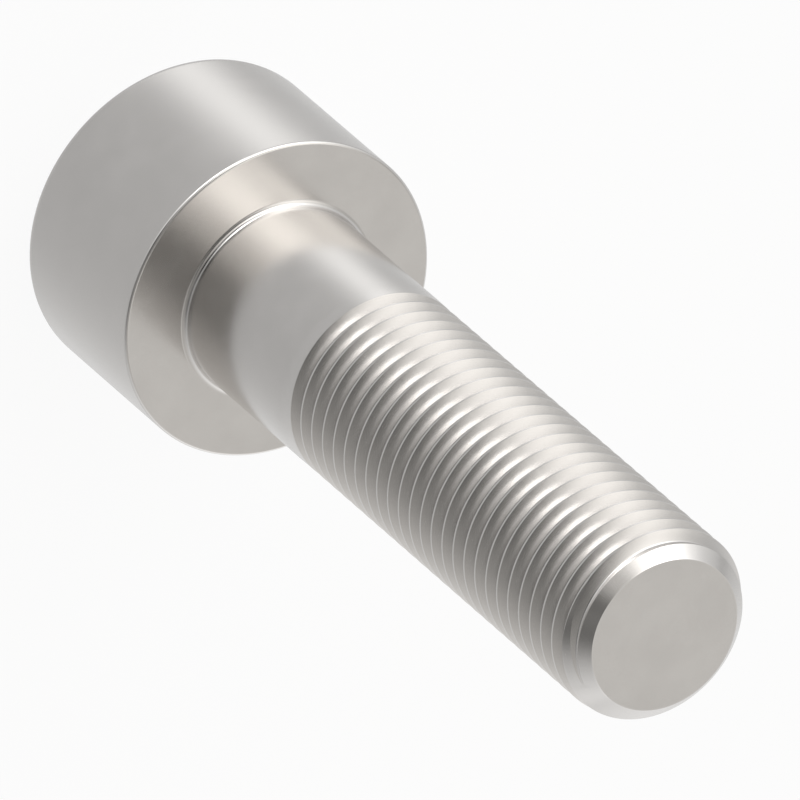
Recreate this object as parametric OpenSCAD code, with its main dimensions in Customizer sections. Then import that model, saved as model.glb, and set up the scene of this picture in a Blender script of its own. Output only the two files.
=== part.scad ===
// Socket head cap screw, 12 mm fine thread, standing on its head.
// The origin is on the axis, in the plane of the bearing face under the head, and +Z points to the tip.

/* [Head] */
// Diameter of the head
head_d = 20; // [17:0.5:24]
// Height of the head, from its top to the bearing face
head_h = 12; // [10:0.5:16]
// Rounding of the edge round the head's top
top_edge_r = 1; // [0.4:0.1:1.5]
// Rounding of the edge round the bearing face
bearing_edge_r = 0.2; // [0.1:0.05:0.5]
// Fillet between the bearing face and the shank
fillet_r = 0.6; // [0.3:0.1:1]

/* [Hexagon socket] */
// Width across the flats of the socket
socket_af = 10; // [8:0.5:11]
// Depth of the flats, from the head's top
socket_depth = 6; // [5:0.5:7]
// Depth of the shallow cone at the socket's bottom
socket_cone_h = 1; // [0.3:0.1:1.5]
// Width of the countersink round the socket's mouth, beyond the corners
mouth_margin = 0.25; // [0.1:0.05:0.6]

/* [Shank and point] */
// Diameter of the plain shank
shank_d = 12; // [11.9:0.05:12.5]
// Length of the plain shank, from the bearing face
plain_length = 10.9; // [6:0.1:20]
// Length of the slight taper from the plain shank to the thread's crests
taper_h = 0.6; // [0.6:0.1:2]
// Length from the bearing face to the tip
under_head_length = 44.5; // [35:0.5:60]
// Diameter of the flat face at the tip
point_d = 9.5; // [8:0.1:10.2]

/* [Thread] */
// Nominal thread diameter
thread_d = 12; // [11.5:0.05:12]
// Thread pitch
pitch = 1.25; // [1:0.25:1.5]
// How far the crests lie below the nominal diameter, for a free running fit
crest_allowance = 0.03; // [0.02:0.01:0.1]
// Azimuth at which the thread groove starts
start_azimuth = 50; // [0:5:355]
// Turn over which the groove comes down to its full depth, in degrees
run_in = 80; // [40:10:180]

/* [Hidden] */
$fn = 96;

// Straight flat sides per turn of the thread groove
STEPS = 40;
// The basic profile of a metric thread: 60 degree flanks, crest flat of an eighth and root flat of a quarter pitch
FLANK = 30;
thread_depth = 5 / 16 * pitch / tan(FLANK);
root_half = pitch / 8;
// How far the groove's section reaches beyond the nominal diameter, so that it cuts through the crests
over = 0.1;
mouth_half = root_half + (thread_depth + over) * tan(FLANK);
// Where the groove's middle starts, above the taper
groove_lead = 0.3;
groove_start_z = plain_length + taper_h + groove_lead;
crest_r = (thread_d - crest_allowance) / 2;

// How far the socket's cutting shapes reach past the head's top, so that they cut cleanly through it
reach = 1.5;
// Overlap between the hexagon and the cone below it, and the cone's distance from the flats
overlap = 0.01;
cone_inset = 0.05;

// The corner left between a square and the quarter circle in it: what a rounding of radius r takes off
module corner_off(r) {
    difference() {
        translate([-r, 0]) square([2 * r, r]);
        translate([-r, 0]) circle(r);
    }
}

// Half section of the head, with the socket still to come
module head_section() {
    difference() {
        translate([0, -head_h]) square([head_d / 2, head_h]);
        translate([head_d / 2, -bearing_edge_r]) corner_off(bearing_edge_r);
        translate([head_d / 2, top_edge_r - head_h]) mirror([0, 1]) corner_off(top_edge_r);
    }
}

// Half section of the fillet under the head
module fillet_section() {
    difference() {
        square([shank_d / 2 + fillet_r, fillet_r]);
        translate([shank_d / 2 + fillet_r, fillet_r]) circle(fillet_r);
    }
}

// Half section of the shank before the thread is made: plain length, taper, threaded length and 45 degree point
module shank_section() {
    point_h = crest_r - point_d / 2;
    polygon([
        [0, 0],
        [shank_d / 2, 0],
        [shank_d / 2, plain_length],
        [crest_r, plain_length + taper_h],
        [crest_r, under_head_length - point_h],
        [point_d / 2, under_head_length],
        [0, under_head_length]
    ]);
}

// The turned blank: head, fillet and shank in one revolved section
module blank() {
    rotate_extrude() {
        head_section();
        fillet_section();
        shank_section();
    }
}

// One cross-section of the groove after a turn of a degrees: root first, then the open side
function groove_ring(a) =
    let (lift = (1 - min(1, a / run_in)) * (thread_depth + over),
         root = thread_d / 2 - thread_depth + lift,
         outer = thread_d / 2 + over + lift,
         z = groove_start_z + pitch * a / 360,
         c = cos(start_azimuth + a),
         s = sin(start_azimuth + a))
    [for (p = [[root, -root_half], [root, root_half], [outer, mouth_half], [outer, -mouth_half]])
        [p[0] * c, p[0] * s, z + p[1]]];

// The right-hand helical groove, from its run-in to past the tip
module thread_groove() {
    rings = ceil((under_head_length + pitch - groove_start_z) / pitch * STEPS);
    points = [for (i = [0 : rings]) each groove_ring(i * 360 / STEPS)];
    sides = [for (i = [0 : rings - 1], k = [0 : 3])
        let (a = 4 * i + k, b = 4 * i + (k + 1) % 4)
        each [[a, b + 4, b], [a, a + 4, b + 4]]];
    ends = [[0, 1, 2, 3], [for (k = [3 : -1 : 0]) 4 * rings + k]];
    polyhedron(points, concat(sides, ends), convexity = 20);
}

// The hexagon socket, open at the head's top, with a countersunk mouth and a shallow conical bottom
module socket() {
    corner_d = socket_af / cos(30);
    mouth_d = corner_d + 2 * mouth_margin;
    translate([0, 0, -head_h]) {
        translate([0, 0, -reach]) cylinder(d = corner_d, h = socket_depth + reach, $fn = 6);
        translate([0, 0, socket_depth - overlap])
            cylinder(d1 = socket_af - 2 * cone_inset, d2 = 0, h = socket_cone_h + overlap);
        translate([0, 0, -reach])
            cylinder(d1 = mouth_d + 2 * reach, d2 = mouth_d - 2 * reach, h = 2 * reach);
    }
}

module cap_screw() {
    color("silver")
        difference() {
            blank();
            thread_groove();
            socket();
        }
}

cap_screw();
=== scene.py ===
# %% [markdown]
# # A socket head cap screw in satin steel
#
# The object is one forged, turned and rolled piece: a tall round head with a hexagon socket, a plain
# shank, and a fine thread that ends in a chamfered point. It stands on its head, so Z runs up the axis.
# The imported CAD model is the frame. It has the screw's sizes, but its groove is cut in straight flats,
# so one finer piece replaces it here: a lathe-turned blank, a helical groove and a socket.

# %% Load the frame and keep its box
import math

import bmesh
import bpy
from mathutils import Matrix, Quaternion, Vector


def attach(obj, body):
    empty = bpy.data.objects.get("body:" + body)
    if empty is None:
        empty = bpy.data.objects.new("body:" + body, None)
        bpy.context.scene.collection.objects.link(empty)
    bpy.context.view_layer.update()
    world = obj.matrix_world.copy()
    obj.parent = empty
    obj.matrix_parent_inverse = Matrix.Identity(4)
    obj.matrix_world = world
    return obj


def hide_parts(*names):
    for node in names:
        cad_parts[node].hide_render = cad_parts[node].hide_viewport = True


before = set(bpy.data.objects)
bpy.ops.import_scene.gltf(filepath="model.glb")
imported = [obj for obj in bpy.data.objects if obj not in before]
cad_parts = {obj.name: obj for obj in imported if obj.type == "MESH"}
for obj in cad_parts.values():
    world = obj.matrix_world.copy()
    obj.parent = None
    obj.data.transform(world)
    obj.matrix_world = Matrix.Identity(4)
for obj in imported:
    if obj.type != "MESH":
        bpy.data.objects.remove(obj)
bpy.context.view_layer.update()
print("frame nodes:", sorted(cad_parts))

# %% [markdown]
# ## Sizes
#
# The screw is drawn in millimetres and shrunk to metres at the very end, because a thread has details of
# a few hundredths of a millimetre, and merging doubles is safer with numbers near one. The main sizes are
# those of the CAD source, so the piece fills the same space as the solid that it stands for. Only
# the fillet, the groove and the socket's corners differ a little. The first two follow the photograph.

# %% Sizes of the head, the socket and the shank, in millimetres
MM = 0.001
HEAD_R, HEAD_H = 10.0, 12.0
TOP_EDGE_R, BEARING_EDGE_R, FILLET_R = 1.0, 0.2, 0.4
SOCKET_AF, SOCKET_DEPTH, SOCKET_CONE = 10.0, 6.0, 1.0
SHANK_R, PLAIN_END, TAPER_END = 6.0, 10.9, 11.5
CREST_R, TIP_Z, POINT_R = 5.985, 44.5, 4.75
CHAMFER_Z = TIP_Z - (CREST_R - POINT_R)
print("head", 2 * HEAD_R, "x", HEAD_H, "mm, length under the head", TIP_Z, "mm, chamfer from", CHAMFER_Z)

# %% [markdown]
# ## Sizes of the thread
#
# A metric thread follows from its pitch alone. Its section is a triangle of 60 degrees, cut off by an
# eighth of its height at the crest and by a quarter at the root, and that gives the depth of the groove.

# %% Thread sizes, in millimetres
PITCH = 1.25
THREAD_R = 6.0
FLANK = math.radians(30)
THREAD_DEPTH = 5 / 16 * PITCH / math.tan(FLANK)
GROOVE_START_Z = 11.8
GROOVE_START_AZIMUTH = math.radians(50)
RUN_IN = math.radians(80)
print("thread depth", round(THREAD_DEPTH, 4), "root radius", round(THREAD_R - THREAD_DEPTH, 4))

# %% [markdown]
# ## Outlines and the lathe
#
# A turned part is an outline beside the axis that is spun through a full circle, as on a lathe. Rounded
# edges are bevelled into the outline while it is still a thin line. That gives true arcs all the way
# round for the price of a few points, and the faces stay long clean quads.

# %% Outline, rounding and lathe helpers
TURN_STEPS = 144
SEAM_MERGE = 1e-5


def outline(bm, points, closed=False):
    """A chain of edges through (radius, height) points in the XZ plane; returns its vertices."""
    verts = [bm.verts.new((r, 0, z)) for r, z in points]
    for a, b in zip(verts, verts[1:] + verts[:1] if closed else verts[1:]):
        bm.edges.new((a, b))
    return verts


def round_corner(bm, vert, radius, segments):
    """Turns one corner of an outline into an arc."""
    bmesh.ops.bevel(bm, geom=[vert], offset=radius, offset_type="OFFSET", segments=segments,
                    profile=0.5, affect="VERTICES", material=-1)


def turned(bm):
    """Spins the outline in bm round the Z axis and closes it at the poles."""
    bmesh.ops.spin(bm, geom=bm.verts[:] + bm.edges[:], cent=(0, 0, 0), axis=(0, 0, 1), dvec=(0, 0, 0),
                   angle=2 * math.pi, steps=TURN_STEPS, use_merge=True)
    bmesh.ops.remove_doubles(bm, verts=bm.verts, dist=SEAM_MERGE)
    bmesh.ops.recalc_face_normals(bm, faces=bm.faces)


print("one step of the lathe is", 360 / TURN_STEPS, "degrees")

# %% [markdown]
# ## Objects and cuts
#
# A bmesh is only a sketch until it is written into an object. The screw is made by taking material away,
# so the last helper subtracts one object from another. It keeps the mesh with the modifier already worked
# out, which the second helper asks Blender for, and leaves no modifier behind.

# %% Object and boolean helpers
def as_object(bm, name):
    """Makes a mesh object of a finished bmesh."""
    mesh = bpy.data.meshes.new(name)
    bm.to_mesh(mesh)
    bm.free()
    obj = bpy.data.objects.new(name, mesh)
    bpy.context.scene.collection.objects.link(obj)
    return obj


def worked_out(obj):
    """The mesh of obj with its modifiers applied."""
    bpy.context.view_layer.update()
    return bpy.data.meshes.new_from_object(obj.evaluated_get(bpy.context.evaluated_depsgraph_get()))


def cut(obj, cutter):
    """Subtracts cutter from obj and removes the cutter."""
    mod = obj.modifiers.new("cut", "BOOLEAN")
    mod.operation, mod.solver, mod.object = "DIFFERENCE", "MANIFOLD", cutter
    made = worked_out(obj)
    obj.modifiers.clear()
    obj.data = made
    bpy.data.objects.remove(cutter)


# %% [markdown]
# ## The blank
#
# The real screw starts as a length of wire. Its head is forged, the shank is turned to size, and the
# point is chamfered, all before the thread is rolled. The outline has one point for each corner of that
# blank. Three of its corners are rounded: a broad arc round the head's top, a fine one round the bearing
# face, and the fillet that keeps the neck from cracking.

# %% Turn the blank
TOP_EDGE_STEPS, BEARING_EDGE_STEPS, FILLET_STEPS = 10, 8, 10

blank_bm = bmesh.new()
corner = outline(blank_bm, [
    (0, -HEAD_H), (HEAD_R, -HEAD_H), (HEAD_R, 0), (SHANK_R, 0), (SHANK_R, PLAIN_END),
    (CREST_R, TAPER_END), (CREST_R, CHAMFER_Z), (POINT_R, TIP_Z), (0, TIP_Z)])
for vert, radius, segments in ((corner[1], TOP_EDGE_R, TOP_EDGE_STEPS),
                               (corner[2], BEARING_EDGE_R, BEARING_EDGE_STEPS),
                               (corner[3], FILLET_R, FILLET_STEPS)):
    round_corner(blank_bm, vert, radius, segments)
turned(blank_bm)
screw = as_object(blank_bm, "cap_screw_body")
print("blank:", len(screw.data.vertices), "vertices", [round(c, 3) for c in screw.dimensions])

# %% [markdown]
# ## The groove's section
#
# The thread is a right-hand helix: it climbs by one pitch for each turn anticlockwise, seen from the tip.
# It could be built ridge by ridge, but cutting one long groove is simpler and gives true crests. The
# cutter starts as the section of one groove, which reaches a little past the surface so that it cuts
# clean through. Rolling dies are never sharp, so both corners at the root are rounded.

# %% Draw the section of the groove where the thread starts
GROOVE_STEPS = 120
OVER = 0.1
ROLLED_WIDER = 0.02
ROOT_ROUND, ROOT_SEGMENTS = 0.09, 6

half_root = PITCH / 8 + ROLLED_WIDER
half_mouth = half_root + (THREAD_DEPTH + OVER) * math.tan(FLANK)
root_r, outer_r = THREAD_R - THREAD_DEPTH, THREAD_R + OVER

groove_bm = bmesh.new()
section = outline(groove_bm, [(root_r, -half_root), (root_r, half_root),
                              (outer_r, half_mouth), (outer_r, -half_mouth)], closed=True)
for vert in section[:2]:
    round_corner(groove_bm, vert, ROOT_ROUND, ROOT_SEGMENTS)
start = (Matrix.Translation((0, 0, GROOVE_START_Z))
         @ Matrix.Rotation(GROOVE_START_AZIMUTH, 4, "Z"))
bmesh.ops.transform(groove_bm, matrix=start, verts=groove_bm.verts)
print("groove section:", len(groove_bm.verts), "points,", round(2 * half_mouth, 3), "mm wide at its mouth")

# %% [markdown]
# ## The helix
#
# The spin operator makes a screw when its dvec is not zero: each step turns the section and also lifts
# it. Only one turn is swept this way. The rest are copies of it, one pitch higher each, which keeps
# all turns exactly alike. Merging doubles then joins the copies end to end.

# %% Sweep one turn of the groove, then stack the turns
TURN_MERGE = 1e-4

bmesh.ops.spin(groove_bm, geom=groove_bm.verts[:] + groove_bm.edges[:], cent=(0, 0, 0), axis=(0, 0, 1),
               dvec=(0, 0, PITCH / GROOVE_STEPS), angle=2 * math.pi, steps=GROOVE_STEPS)
one_turn = groove_bm.verts[:] + groove_bm.edges[:] + groove_bm.faces[:]
turns = math.ceil((TIP_Z + PITCH - GROOVE_START_Z) / PITCH)
for k in range(1, turns):
    copy = bmesh.ops.duplicate(groove_bm, geom=one_turn)["geom"]
    copied = [item for item in copy if isinstance(item, bmesh.types.BMVert)]
    bmesh.ops.translate(groove_bm, vec=(0, 0, k * PITCH), verts=copied)
bmesh.ops.remove_doubles(groove_bm, verts=groove_bm.verts, dist=TURN_MERGE)
print("groove:", turns, "turns,", len(groove_bm.verts), "vertices")

# %% [markdown]
# ## The run-in
#
# A rolled thread doesn't begin with a wall. It fades in where the dies first touched the shank. The
# start of the cutter is therefore pushed outwards until it is clear of the surface, and comes down to its
# full depth over less than a quarter of a turn. A tiny slack keeps the very first section from counting
# as a whole turn further on. Filling the holes then closes the cutter's two ends, and the thread is cut.

# %% Lift the start of the groove, then cut the thread
ANGLE_SLACK = 1e-4

for vert in groove_bm.verts:
    azimuth = math.atan2(vert.co.y, vert.co.x)
    turned_by = (azimuth - GROOVE_START_AZIMUTH + ANGLE_SLACK) % (2 * math.pi)
    climbed = vert.co.z - GROOVE_START_Z
    in_first_turn = abs(climbed - PITCH * turned_by / (2 * math.pi)) < PITCH / 2
    if turned_by < RUN_IN and in_first_turn:
        lift = (1 - turned_by / RUN_IN) * (THREAD_DEPTH + OVER)
        vert.co.xy *= 1 + lift / vert.co.xy.length
bmesh.ops.holes_fill(groove_bm, edges=groove_bm.edges, sides=0)
bmesh.ops.recalc_face_normals(groove_bm, faces=groove_bm.faces)
print("cutter: open edges", sum(not e.is_manifold for e in groove_bm.edges),
      "volume in mm3", round(groove_bm.calc_volume(signed=True), 2))

cut(screw, as_object(groove_bm, "groove"))
print("threaded:", len(screw.data.vertices), "vertices,",
      sum(len(p.vertices) - 2 for p in screw.data.polygons), "triangles")

# %% [markdown]
# ## The socket
#
# The hexagon is punched into the head's top, the face that the screw stands on. A cylinder with six sides
# is the punch. Its upright edges are rounded slightly, as the corners of a real punch are, and it
# reaches out of the head so that no thin skin is left over the mouth.

# %% Punch the hexagon
SOCKET_REACH = 1.5
HEX_SIDES, HALF_SIDE, HEX_TURN = 6, math.radians(30), math.radians(90)
HEX_CORNER_ROUND, HEX_CORNER_SEGMENTS = 0.15, 6
UPRIGHT_RISE = 1

corner_r = SOCKET_AF / 2 / math.cos(HALF_SIDE)
hex_h = SOCKET_DEPTH + SOCKET_REACH
hex_bm = bmesh.new()
hex_place = (Matrix.Translation((0, 0, -HEAD_H - SOCKET_REACH + hex_h / 2))
             @ Matrix.Rotation(HEX_TURN, 4, "Z"))
bmesh.ops.create_cone(hex_bm, cap_ends=True, cap_tris=False, segments=HEX_SIDES, radius1=corner_r,
                      radius2=corner_r, depth=hex_h, matrix=hex_place)
upright = [e for e in hex_bm.edges if abs(e.verts[0].co.z - e.verts[1].co.z) > UPRIGHT_RISE]
bmesh.ops.bevel(hex_bm, geom=upright, offset=HEX_CORNER_ROUND, offset_type="OFFSET",
                segments=HEX_CORNER_SEGMENTS, profile=0.5, affect="EDGES", material=-1)
cut(screw, as_object(hex_bm, "hexagon"))
print("hexagon:", SOCKET_AF, "mm across flats,", round(2 * corner_r, 2), "mm across corners")

# %% [markdown]
# ## The socket's two ends
#
# A shallow cone at the bottom is what the drill left before the hexagon was punched. The mouth is
# countersunk just past the corners, so that a key finds its way in. Both are cones, so each is an
# outline of four points on the lathe.

# %% Cut the conical bottom and the countersunk mouth
CONE_INSET, CONE_OVERLAP = 0.05, 0.5
MOUTH_MARGIN, MOUTH_OUT = 0.25, 1.0

floor_z = -HEAD_H + SOCKET_DEPTH
cone_r = SOCKET_AF / 2 - CONE_INSET
cone_bm = bmesh.new()
outline(cone_bm, [(0, floor_z + SOCKET_CONE), (cone_r, floor_z),
                  (cone_r, floor_z - CONE_OVERLAP), (0, floor_z - CONE_OVERLAP)])
turned(cone_bm)
cut(screw, as_object(cone_bm, "socket_cone"))

mouth_r = corner_r + MOUTH_MARGIN
mouth_bm = bmesh.new()
outline(mouth_bm, [(0, -HEAD_H - MOUTH_OUT), (mouth_r + MOUTH_OUT, -HEAD_H - MOUTH_OUT),
                   (mouth_r - SOCKET_REACH, -HEAD_H + SOCKET_REACH), (0, -HEAD_H + SOCKET_REACH)])
turned(mouth_bm)
cut(screw, as_object(mouth_bm, "socket_mouth"))
print("mouth:", round(2 * mouth_r, 2), "mm wide, socket bottom at height", floor_z + SOCKET_CONE)

# %% [markdown]
# ## One clean piece
#
# The cuts leave slivers where two outlines nearly meet, so doubles are merged while the mesh is still in
# millimetres. Only then is it shrunk to metres. The number of open edges must be zero here: a screw is
# one closed solid, and a hole in the mesh would show as a flaw in the metal.

# %% Merge the slivers and shrink to metres
SLIVER, SHORTEST_EDGE = 1e-3, 1e-4

finish_bm = bmesh.new()
finish_bm.from_mesh(screw.data)
bmesh.ops.remove_doubles(finish_bm, verts=finish_bm.verts, dist=SLIVER)
bmesh.ops.dissolve_degenerate(finish_bm, edges=finish_bm.edges, dist=SHORTEST_EDGE)
bmesh.ops.recalc_face_normals(finish_bm, faces=finish_bm.faces)
print("open edges:", sum(not e.is_manifold for e in finish_bm.edges),
      "volume in mm3:", round(finish_bm.calc_volume(), 1))
bmesh.ops.scale(finish_bm, vec=(MM, MM, MM), verts=finish_bm.verts)
finish_bm.to_mesh(screw.data)
finish_bm.free()

# %% [markdown]
# ## Smooth shading
#
# Faces are shaded smooth except across real edges. The flank of the thread meets the chamfer at only 15
# degrees, so the limit lies just below that. Weighted normals follow the larger face at each
# corner, which keeps flat faces flat right up to their rounded rims. Then the piece takes the place of the
# CAD solid and rides on its body.

# %% Smooth, replace the CAD solid and ride on its body
SHARP = math.radians(12.5)
FACE_WEIGHT = 50

screw.data.polygons.foreach_set("use_smooth", [True] * len(screw.data.polygons))
screw.data.set_sharp_from_angle(angle=SHARP)
weigh = screw.modifiers.new("weighted normals", "WEIGHTED_NORMAL")
weigh.mode, weigh.weight, weigh.keep_sharp = "FACE_AREA", FACE_WEIGHT, True
screw.data = worked_out(screw)
screw.modifiers.clear()
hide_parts("cap_screw")
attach(screw, "root")
print("finished piece:", len(screw.data.vertices), "vertices,",
      sum(len(p.vertices) - 2 for p in screw.data.polygons), "triangles")

# %% [markdown]
# ## Helpers for node groups
#
# The finish is built from small shader node groups, which are to nodes what functions are to code. Each
# group has named inputs and outputs, and is placed in the material with its own values. The helpers
# only save typing: one makes an empty group with its sockets, and one adds a node and wires its inputs.

# %% Group and node helpers
SOCKETS = {"vector": "NodeSocketVector", "value": "NodeSocketFloat", "color": "NodeSocketColor"}


def new_group(name, inputs, outputs):
    """An empty shader node group with the named sockets; returns it with its inner ends."""
    tree = bpy.data.node_groups.new(name, "ShaderNodeTree")
    for direction, sockets in (("INPUT", inputs), ("OUTPUT", outputs)):
        for label, kind in sockets.items():
            tree.interface.new_socket(name=label, in_out=direction, socket_type=SOCKETS[kind])
    return tree, tree.nodes.new("NodeGroupInput").outputs, tree.nodes.new("NodeGroupOutput").inputs


def add(tree, kind, settings=None, **sockets):
    """Adds a node. Each keyword is an input, by name or as i0, i1 by place: a socket or a plain value."""
    node = tree.nodes.new(kind)
    for key, value in (settings or {}).items():
        setattr(node, key, value)
    for key, value in sockets.items():
        by_place = key[0] == "i" and key[1:].isdigit()
        place = node.inputs[int(key[1:]) if by_place else key.replace("_", " ")]
        if isinstance(value, bpy.types.NodeSocket):
            tree.links.new(value, place)
        else:
            place.default_value = value
    return node


print("sockets that groups use:", sorted(SOCKETS))

# %% [markdown]
# ## Helpers for sums and mixes
#
# Three kinds of node come up again and again: a sum, a mix of two values or colours, and a map range,
# which carries a value from one range into another. Each gets a short function that returns the socket
# with its result, so that several steps read like one line of arithmetic.

# %% Arithmetic helpers
def math_node(tree, operation, *values):
    """One arithmetic step; returns the result's socket."""
    inputs = {f"i{k}": v for k, v in enumerate(values)}
    return add(tree, "ShaderNodeMath", {"operation": operation}, **inputs).outputs[0]


def vary(tree, value, from_min, from_max, to_min=0.0, to_max=1.0, shape="LINEAR"):
    """Carries a value from one range to another and holds it there."""
    return add(tree, "ShaderNodeMapRange", {"interpolation_type": shape}, Value=value, From_Min=from_min,
               From_Max=from_max, To_Min=to_min, To_Max=to_max).outputs[0]


def mix_values(tree, factor, a, b):
    """Goes from value a to value b."""
    return add(tree, "ShaderNodeMix", {"data_type": "FLOAT"}, i0=factor, i2=a, i3=b).outputs[0]


def mix_colours(tree, factor, a, b):
    """Goes from colour a to colour b."""
    return add(tree, "ShaderNodeMix", {"data_type": "RGBA"}, i0=factor, i6=a, i7=b).outputs[2]


print("helpers ready:", ", ".join(f.__name__ for f in (math_node, vary, mix_values, mix_colours)))

# %% [markdown]
# ## Where the surface lies on the turned part
#
# Turning marks and worn rims follow the axis, so the finish needs each point's radius and height. Both
# come from Object coordinates, which stay with the piece when it moves. They are turned into millimetres
# here, so that every later value in the finish can be read as a real size.

# %% Group: turned coordinates
turned_place, ins, outs = new_group(
    "turned_coordinates", {"Object": "vector"},
    {"Millimetres": "vector", "Radius": "value", "Height": "value"})
in_mm = add(turned_place, "ShaderNodeVectorMath", {"operation": "SCALE"}, Vector=ins["Object"],
            Scale=1 / MM).outputs[0]
split = add(turned_place, "ShaderNodeSeparateXYZ", Vector=in_mm).outputs
flat = add(turned_place, "ShaderNodeCombineXYZ", X=split["X"], Y=split["Y"]).outputs[0]
radius = add(turned_place, "ShaderNodeVectorMath", {"operation": "LENGTH"}, i0=flat).outputs["Value"]
for socket, label in ((in_mm, "Millimetres"), (radius, "Radius"), (split["Z"], "Height")):
    turned_place.links.new(socket, outs[label])
print("group:", turned_place.name, [s.name for s in turned_place.interface.items_tree])

# %% [markdown]
# ## Satin grain
#
# A screw is tumbled and degreased after rolling, which leaves an even satin: a grain of a tenth of a
# millimetre, broad clouds where it dried, and under both the faint rings of the turning tool. The grain
# and the rings go to a bump, and the clouds shift the roughness and the tone by a few hundredths. More
# than that would look like cast metal. The rings are noise in radius and height alone, so they run as
# circles on the flat faces and as hoops round the sides.

# %% Group: satin grain
GRAIN_PER_MM, RINGS_PER_MM, CLOUDS_PER_MM = 9.0, 7.0, 0.35
GRAIN_DETAIL, RINGS_DETAIL, CLOUDS_DETAIL = 2.0, 2.0, 4.0
GRAIN_HARSH, RINGS_HARSH, CLOUDS_HARSH = 0.6, 0.7, 0.55
CLOUD_LOW, CLOUD_HIGH = 0.35, 0.65

grain, ins, outs = new_group(
    "satin_grain", {"Millimetres": "vector", "Radius": "value", "Height": "value", "Ring Share": "value"},
    {"Relief": "value", "Clouds": "value"})
fine = add(grain, "ShaderNodeTexNoise", Vector=ins["Millimetres"], Scale=GRAIN_PER_MM,
           Detail=GRAIN_DETAIL, Roughness=GRAIN_HARSH).outputs["Fac"]
ring_place = add(grain, "ShaderNodeCombineXYZ", X=ins["Radius"], Y=ins["Height"]).outputs[0]
rings = add(grain, "ShaderNodeTexNoise", {"noise_dimensions": "2D"}, Vector=ring_place,
            Scale=RINGS_PER_MM, Detail=RINGS_DETAIL, Roughness=RINGS_HARSH).outputs["Fac"]
clouds = add(grain, "ShaderNodeTexNoise", Vector=ins["Millimetres"], Scale=CLOUDS_PER_MM,
             Detail=CLOUDS_DETAIL, Roughness=CLOUDS_HARSH).outputs["Fac"]
grain.links.new(mix_values(grain, ins["Ring Share"], fine, rings), outs["Relief"])
grain.links.new(vary(grain, clouds, CLOUD_LOW, CLOUD_HIGH), outs["Clouds"])
print("group:", grain.name, "with", len(grain.nodes), "nodes")

# %% [markdown]
# ## Worn rims and their painted highlight
#
# Screws are poured, sorted and packed loose, and their sharp rims rub bright against each other. The band
# that this group finds polishes the rim and brightens its tone, and that brighter tone is partly wear and
# partly a painted highlight. A rim of a turned part is a circle, so its wear is a matter of distance: how
# far the point lies, in radius and height, from the rim. The group is placed once for each rim, and noise
# breaks its band up.

# %% Group: worn rim, also a painted highlight
LEAST_BAND = 0.4

rim, ins, outs = new_group(
    "rim_wear_and_highlight", {"Radius": "value", "Height": "value", "Rim Radius": "value", "Rim Height": "value",
                 "Band": "value", "Break Up": "value"}, {"Wear": "value"})
across = math_node(rim, "SUBTRACT", ins["Radius"], ins["Rim Radius"])
along = math_node(rim, "SUBTRACT", ins["Height"], ins["Rim Height"])
squares = math_node(rim, "ADD", math_node(rim, "MULTIPLY", across, across),
                    math_node(rim, "MULTIPLY", along, along))
gap = math_node(rim, "SQRT", squares)
width = math_node(rim, "ADD", ins["Break Up"], LEAST_BAND)
uneven = math_node(rim, "MULTIPLY", ins["Band"], width)
rim.links.new(vary(rim, gap, 0.0, uneven, 1.0, 0.0, "SMOOTHSTEP"), outs["Wear"])
print("group:", rim.name, "with", len(rim.nodes), "nodes")

# %% [markdown]
# ## The steel
#
# Bare steel is a metal, so its colour is the tint of what it mirrors: a pale grey, slightly warm. The
# whole screw has one material. It places the rim group at each turned rim and keeps the strongest value,
# which is wear and a painted highlight together. Bands of tenths of a millimetre are enough, except where
# the head's top edge is rounded far away from its corner. All steps are small, because this screw is new.

# %% Place the groups in the steel and find the worn rims
RING_SHARE = 0.35
SCUFFS_PER_MM, SCUFFS_DETAIL = 1.6, 3.0
RIMS = {"head edge": (HEAD_R, 0, 0.25), "head top edge": (HEAD_R, -HEAD_H, 1.1),
        "point edge": (POINT_R, TIP_Z, 0.14), "first crest": (CREST_R, CHAMFER_Z, 0.2)}

steel = bpy.data.materials.new("satin_steel")
steel.use_nodes = True
tree = steel.node_tree
shader = tree.nodes["Principled BSDF"]


def group_node(group, **sockets):
    """Places a node group in the steel and wires its inputs."""
    return add(tree, "ShaderNodeGroup", {"node_tree": group}, **sockets).outputs


place = group_node(turned_place, Object=add(tree, "ShaderNodeTexCoord").outputs["Object"])
satin = group_node(grain, Millimetres=place["Millimetres"], Radius=place["Radius"],
                   Height=place["Height"], Ring_Share=RING_SHARE)
scuffs = add(tree, "ShaderNodeTexNoise", Vector=place["Millimetres"], Scale=SCUFFS_PER_MM,
             Detail=SCUFFS_DETAIL).outputs["Fac"]
# This mask is wear and a painted highlight at once: it polishes the rims and brightens their tone.
wear_and_highlight = 0.0
for rim_r, rim_z, band in RIMS.values():
    worn_or_highlit_here = group_node(rim, Radius=place["Radius"], Height=place["Height"], Rim_Radius=rim_r,
                           Rim_Height=rim_z, Band=band, Break_Up=scuffs)["Wear"]
    wear_and_highlight = math_node(tree, "MAXIMUM", wear_and_highlight, worn_or_highlit_here)
print("rims that wear:", ", ".join(RIMS))

# %% [markdown]
# ## Crests and roots
#
# Rolling leaves the groove as the die left it, while the crests rub against everything. Both are found
# from the radius: near the outside is crest, near the core is root. That is only true between the
# plain shank and the point, so a mask by height fades both out where the chamfer starts. The crest mask
# joins the wear and its painted highlight, and the root mask carries a painted shade down in the roots
# as well as a duller finish.

# %% Masks for the thread's crests and roots
CREST_BAND, ROOT_BAND = 0.03, 0.12
POINT_CLEAR, POINT_FADE = 0.9, 0.4

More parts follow.
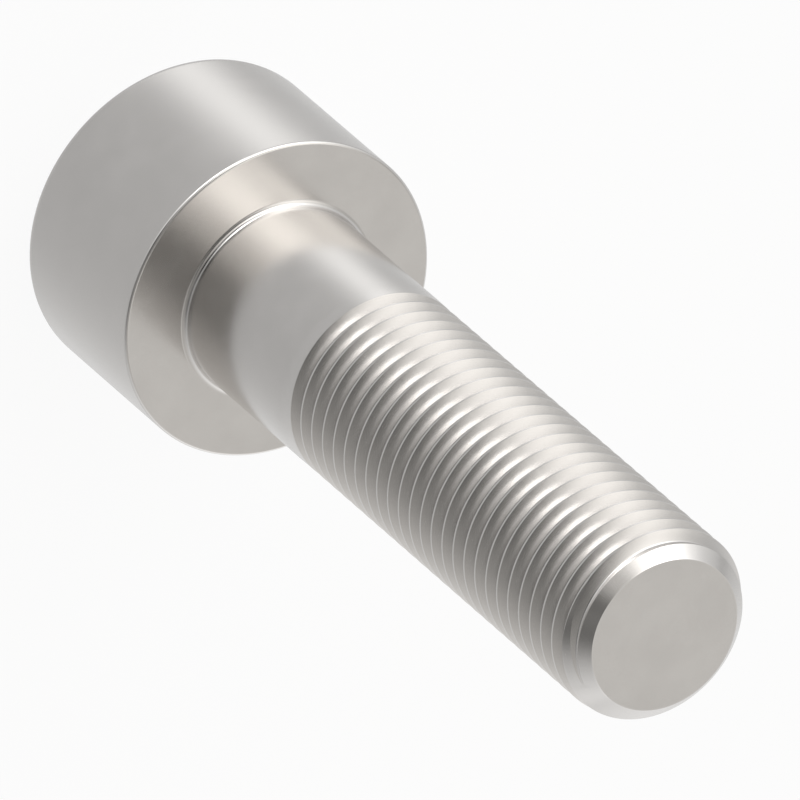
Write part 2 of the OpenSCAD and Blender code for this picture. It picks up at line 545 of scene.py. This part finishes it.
above_plain = vary(tree, place["Height"], PLAIN_END, TAPER_END)
below_point = vary(tree, place["Height"], TIP_Z - POINT_CLEAR, TIP_Z - POINT_CLEAR - POINT_FADE)
in_thread = math_node(tree, "MULTIPLY", above_plain, below_point)
# The root mask darkens the tone as painted shade, and makes the roughness duller.
depth = vary(tree, place["Radius"], CREST_R - ROOT_BAND, THREAD_R - THREAD_DEPTH)
under_crest = math_node(tree, "MULTIPLY", in_thread, depth)
on_crest = math_node(tree, "GREATER_THAN", place["Radius"], CREST_R - CREST_BAND)
crest = math_node(tree, "MULTIPLY", in_thread, on_crest)
# Crests join the same mask: wear and a painted highlight.
wear_and_highlight = math_node(tree, "MAXIMUM", wear_and_highlight, math_node(tree, "MULTIPLY", crest, scuffs))
print("crests from radius", round(CREST_R - CREST_BAND, 3), "roots below", round(CREST_R - ROOT_BAND, 3))

# %% [markdown]
# ## The tone
#
# Three tones are mixed by these masks: the steel itself, a slightly darker one down in the roots, which is
# painted shade, and a brighter one on rims and crests, which is partly wear and partly a painted highlight.
# The clouds then scale the result by a per cent or two. On a mirror-like metal the eye reads even such a
# small change, because the reflections on it are so smooth.

# %% Mix the tones
STEEL_TONE = (0.712, 0.694, 0.675, 1)
# Rims and crests: this brighter tone is partly wear, partly a painted highlight.
WORN_AND_HIGHLIGHT_TONE = (0.755, 0.738, 0.719, 1)
# Painted shade: the roots are darkened where the groove lies in shade.
ROOT_SHADE_TONE = (0.6, 0.585, 0.57, 1)
CLOUD_DARKEST, CLOUD_BRIGHTEST = 0.985, 1.01

tone = mix_colours(tree, under_crest, STEEL_TONE, ROOT_SHADE_TONE)
tone = mix_colours(tree, wear_and_highlight, tone, WORN_AND_HIGHLIGHT_TONE)
cloud_tone = vary(tree, satin["Clouds"], 0.0, 1.0, CLOUD_DARKEST, CLOUD_BRIGHTEST)
tone = add(tree, "ShaderNodeVectorMath", {"operation": "SCALE"}, Vector=tone, Scale=cloud_tone).outputs[0]
tree.links.new(tone, shader.inputs["Base Color"])
# The worn tone is partly a painted highlight, and the root tone is painted shade.
print("tones: steel", STEEL_TONE[:3], "worn", WORN_AND_HIGHLIGHT_TONE[:3], "roots", ROOT_SHADE_TONE[:3])

# %% [markdown]
# ## Roughness and relief
#
# Roughness decides how soft the reflections are. At 0.2 a lamp becomes a broad glow with no edge, as on
# the real satin. Wear polishes and roots stay duller, so the same masks are used again. The
# grain is a bump of less than a thousandth of a millimetre: it can't be seen as relief, only as life in
# the highlights.

# %% Roughness, relief and metal
SATIN, POLISHED, DULL = 0.2, 0.15, 0.25
CLOUD_SMOOTHER, CLOUD_ROUGHER = 0.02, 0.03
RELIEF_MM = 0.0004

clouded = vary(tree, satin["Clouds"], 0.0, 1.0, SATIN - CLOUD_SMOOTHER, SATIN + CLOUD_ROUGHER)
with_roots = mix_values(tree, under_crest, clouded, DULL)
tree.links.new(mix_values(tree, wear_and_highlight, with_roots, POLISHED), shader.inputs["Roughness"])
bump = add(tree, "ShaderNodeBump", Strength=1.0, Distance=RELIEF_MM * MM, Height=satin["Relief"])
tree.links.new(bump.outputs[0], shader.inputs["Normal"])
shader.inputs["Metallic"].default_value = 1.0
screw.data.materials.clear()
screw.data.materials.append(steel)
print("steel:", len(tree.nodes), "nodes, relief", RELIEF_MM, "mm")

# %% [markdown]
# ## The table
#
# The screw stands on a light table: a big sheet of opal acrylic, so wide that its edge shows only from
# very low angles. A disc is enough for it, because nothing but its upper side is ever lit or seen.

# %% The sheet of the light table
TABLE_R, TABLE_SIDES = 1.0, 64

table_bm = bmesh.new()
bmesh.ops.create_circle(table_bm, cap_ends=True, segments=TABLE_SIDES, radius=TABLE_R,
                        matrix=Matrix.Translation((0, 0, -HEAD_H * MM)))
table = as_object(table_bm, "light_table")
print("table radius", TABLE_R, "m at height", -HEAD_H, "mm")

# %% [markdown]
# ## Opal acrylic
#
# Most of what the camera sees of the sheet is its own even glow, at a strength of 1, which is white. The
# rest is plain diffuse white, which keeps the screw's soft shadow. The metal sees the same white sheet
# in its reflections, but half clear, so that the lamps that light it from below show softly in the
# sides of the head and the shank. No real sheet does both, but a shader can. From underneath the camera
# looks through it, as through glass.

# %% The opal acrylic material
GLOW_SHARE, CLEAR_SHARE = 0.92, 0.5
SHEET_WHITE, GLOW_WHITE, GLOW_STRENGTH = (0.9, 0.9, 0.9, 1), (1, 1, 1, 1), 1.0

opal = bpy.data.materials.new("opal_acrylic")
opal.use_nodes = True
opal.cycles.emission_sampling = "NONE"
sheet = opal.node_tree
sheet.nodes.clear()
rays = add(sheet, "ShaderNodeLightPath").outputs
mirrored = math_node(sheet, "MAXIMUM", rays["Is Glossy Ray"], rays["Is Transmission Ray"])
looking = math_node(sheet, "MAXIMUM", rays["Is Camera Ray"], mirrored)
white = add(sheet, "ShaderNodeBsdfDiffuse", Color=SHEET_WHITE).outputs[0]
glow = add(sheet, "ShaderNodeEmission", Color=GLOW_WHITE, Strength=GLOW_STRENGTH).outputs[0]
glowing = add(sheet, "ShaderNodeMixShader", Fac=math_node(sheet, "MULTIPLY", looking, GLOW_SHARE),
              i1=white, i2=glow).outputs[0]

from_metal = math_node(sheet, "MAXIMUM", rays["Is Glossy Ray"], rays["Is Shadow Ray"])
half_clear = math_node(sheet, "MULTIPLY", from_metal, CLEAR_SHARE)
underside = add(sheet, "ShaderNodeNewGeometry").outputs["Backfacing"]
from_below = math_node(sheet, "MULTIPLY", rays["Is Camera Ray"], underside)
clear = add(sheet, "ShaderNodeBsdfTransparent").outputs[0]
seen = add(sheet, "ShaderNodeMixShader", Fac=math_node(sheet, "MAXIMUM", half_clear, from_below),
           i1=glowing, i2=clear).outputs[0]
sheet.links.new(seen, add(sheet, "ShaderNodeOutputMaterial").inputs["Surface"])
table.data.materials.append(opal)
print("opal acrylic:", len(sheet.nodes), "nodes,", round(100 * GLOW_SHARE), "per cent glow")

# %% [markdown]
# ## A soft lamp
#
# Metal shows nothing but its surroundings, so the room is the light. A lamp here is no object: it is a
# direction, a focus and a strength in the world shader. Its light falls off smoothly from its middle, so
# there is no hard edge to be mirrored. The dot product says how closely a ray points at the lamp.

# %% Group: one soft lamp
lamp_group, ins, outs = new_group(
    "soft_lamp", {"View": "vector", "Towards": "vector", "Focus": "value", "Strength": "value"},
    {"Light": "value"})
closeness = add(lamp_group, "ShaderNodeVectorMath", {"operation": "DOT_PRODUCT"}, i0=ins["View"],
                i1=ins["Towards"]).outputs["Value"]
beside = math_node(lamp_group, "MULTIPLY", ins["Focus"], math_node(lamp_group, "SUBTRACT", closeness, 1.0))
fall_off = math_node(lamp_group, "EXPONENT", beside)
lamp_group.links.new(math_node(lamp_group, "MULTIPLY", fall_off, ins["Strength"]), outs["Light"])
print("group:", lamp_group.name, "with", len(lamp_group.nodes), "nodes")

# %% [markdown]
# ## Where the lamps and the dark cards stand
#
# Dark cards give bright metal its contrast in a studio, and a card here is a lamp of negative strength,
# which only a shader can have. Each highlight on the metal points back to one direction in the room. So
# the places and strengths could be fitted to the photograph by least squares, and were then changed a
# little. They suit this view better than they suit the others.

# %% List the lamps and the cards: azimuth, height, focus, strength
LAMPS = {
    "main lamp, left": (-145, 31, 4.7, 3.3),
    "strip, front left": (-118, -7, 23.8, 4.73),
    "strip, front": (-83, -9, 15.7, 1.07),
    "high lamp, left": (-165, 50, 25.0, 0.2),
    "high lamp, back left": (152, 56, 28.0, 1.63),
    "high lamp, back": (113, 75, 17.8, 2.02),
    "lamp, back": (88, 46, 25.0, 0.09),
    "lamp below, left": (-173, -50, 28.0, 1.22),
    "lamp below, back right": (71, -13, 2.5, 0.88),
    "card overhead": (175, 71, 5.9, -2.2),
    "card, front": (-116, 27, 20.9, -2.19),
    "card, front left": (-140, 21, 25.8, -2.19),
    "small card, front": (-80, 17, 16.0, -0.95),
    "small card, front right": (-70, 40, 25.0, -0.24),
    "card, right": (-30, 28, 12.0, -0.38),
}
print("lamps:", sum(row[3] > 0 for row in LAMPS.values()),
      "dark cards:", sum(row[3] < 0 for row in LAMPS.values()))

# %% [markdown]
# ## The studio
#
# The room itself is an even grey all round, so the sides that the picture doesn't show are lit too. It
# is nearly dark below the table, whose sheet gives its own light. Light from above is slightly warm. Cycles
# needs no map of where so soft a light comes from, and leaving it out makes the render much faster.

# %% The studio world
ROOM, UNDER_TABLE, DARKEST = 0.5, 0.02, 0.02
HORIZON_BLEND = 0.05
NEUTRAL, WARM = (1, 1, 1, 1), (1, 0.98, 0.95, 1)
WARM_FROM, WARM_TO = 0.3, 0.7

world = bpy.data.worlds.new("studio")
bpy.context.scene.world = world
world.use_nodes = True
world.cycles.sampling_method = "NONE"
sky = world.node_tree
view_way = add(sky, "ShaderNodeTexCoord").outputs["Generated"]
up = add(sky, "ShaderNodeSeparateXYZ", Vector=view_way).outputs["Z"]
light = vary(sky, up, -HORIZON_BLEND, HORIZON_BLEND, UNDER_TABLE, ROOM)
for label, (azimuth, height, focus, strength) in LAMPS.items():
    turn, tilt = math.radians(azimuth), math.radians(height)
    towards = (math.cos(tilt) * math.cos(turn), math.cos(tilt) * math.sin(turn), math.sin(tilt))
    lamp = add(sky, "ShaderNodeGroup", {"node_tree": lamp_group, "label": label}, View=view_way,
               Towards=towards, Focus=focus, Strength=strength)
    light = math_node(sky, "ADD", light, lamp.outputs[0])
hue = mix_colours(sky, vary(sky, up, WARM_FROM, WARM_TO), NEUTRAL, WARM)
background = sky.nodes["Background"].inputs
sky.links.new(math_node(sky, "MAXIMUM", light, DARKEST), background["Strength"])
sky.links.new(hue, background["Color"])
bpy.context.scene.view_settings.view_transform = "Standard"
print("studio:", len(sky.nodes), "nodes, room", ROOM, "under the table", UNDER_TABLE)

# %% [markdown]
# ## The camera
#
# The picture is an engineering view along a steep diagonal, with almost no perspective, so the camera
# stands two metres off behind a very long lens. Its height above the horizon comes from how round the tip
# looks, and its roll from the slope of the axis. The distance follows from the scale and the lens.

# %% Camera
PICTURE_PX = 800
PX_PER_MM = 17.5014
LENS, SENSOR = 1600, 36
TARGET_MM = (-0.2549, -0.4457, 14.4596)
ELEVATION = math.radians(49.1337)
ROLL = math.radians(130.8928)
CLIP_NEAR, CLIP_FAR = 0.1, 10

camera = bpy.data.objects.new("camera", bpy.data.cameras.new("camera"))
bpy.context.scene.collection.objects.link(camera)
camera.data.lens, camera.data.sensor_width = LENS, SENSOR
distance = PICTURE_PX / PX_PER_MM * LENS / SENSOR * MM
back = Vector((0, -math.cos(ELEVATION), math.sin(ELEVATION)))
camera.location = Vector(TARGET_MM) * MM + back * distance
camera.rotation_mode = "QUATERNION"
camera.rotation_quaternion = (-back).to_track_quat("-Z", "Y") @ Quaternion((0, 0, 1), ROLL)
camera.data.clip_start, camera.data.clip_end = CLIP_NEAR, CLIP_FAR
bpy.context.scene.camera = camera
print("camera", round(distance, 3), "m away, view", round(math.degrees(camera.data.angle), 2), "degrees")
